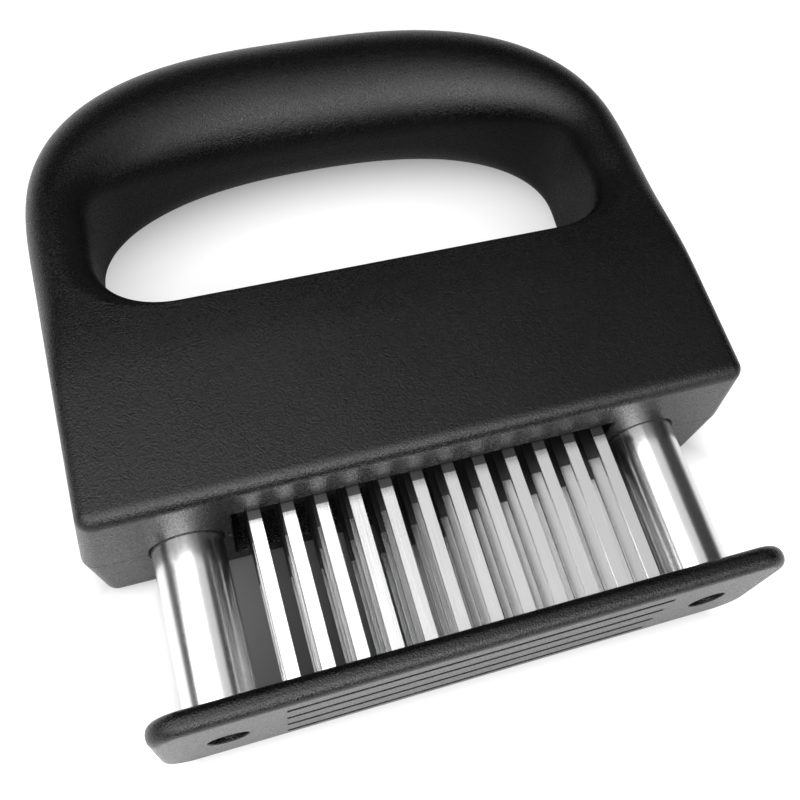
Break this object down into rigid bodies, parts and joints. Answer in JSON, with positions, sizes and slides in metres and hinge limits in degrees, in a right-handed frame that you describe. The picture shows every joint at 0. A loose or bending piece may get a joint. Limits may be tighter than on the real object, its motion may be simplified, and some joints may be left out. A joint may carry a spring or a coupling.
{
  "type": "blade meat tenderizer",
  "caption": "Hand-held press tool with a D-shaped grip, rows of pointed steel blades and a sprung slotted guard plate that slides up on two guide tubes.",
  "frame": {"origin": "centre of the footprint, on the plane the tool lies on, at its back face", "axes": "+X across the tool's width, +Y from the guard plate towards the hand grip, +Z out of the front face"},
  "size_m": [0.156, 0.1736, 0.0464],
  "materials": {
    "housing_plastic": "satin black, finely textured moulding",
    "guard_plastic": "satin black, finely textured moulding",
    "spacer_plastic": "plain black moulding",
    "tube_steel": "polished stainless tube",
    "blade_steel": "fine ground stainless sheet",
    "spring_steel": "bright drawn wire",
    "screw_steel": "bright zinc plated"
  },
  "bodies": {
    "housing": {"front_shell": "housing_plastic", "back_cover": "housing_plastic", "housing_screws": "screw_steel", "blade_comb_1": "blade_steel", "blade_comb_2": "blade_steel", "blade_comb_3": "blade_steel", "blade_comb_4": "blade_steel", "comb_spacer_1": "spacer_plastic", "comb_spacer_2": "spacer_plastic", "comb_spacer_3": "spacer_plastic", "comb_pins": "screw_steel", "spring_guide_left": "spacer_plastic", "spring_guide_right": "spacer_plastic", "return_spring_left": "spring_steel", "return_spring_right": "spring_steel"},
    "guard": {"guard_plate": "guard_plastic", "guide_tube_left": "tube_steel", "guide_tube_right": "tube_steel", "stop_collar_left": "spacer_plastic", "stop_collar_right": "spacer_plastic", "tube_plug_left": "spacer_plastic", "tube_plug_right": "spacer_plastic", "plate_screws": "screw_steel"}
  },
  "joints": [
    {"name": "guard_slide", "type": "slide", "parent": "housing", "child": "guard", "axis": [0, 1, 0], "range_m": [0, 0.034], "stiffness_N_per_m": 1370, "springref_m": -0.0085, "deforming": ["return_spring_left", "return_spring_right"]}
  ]
}
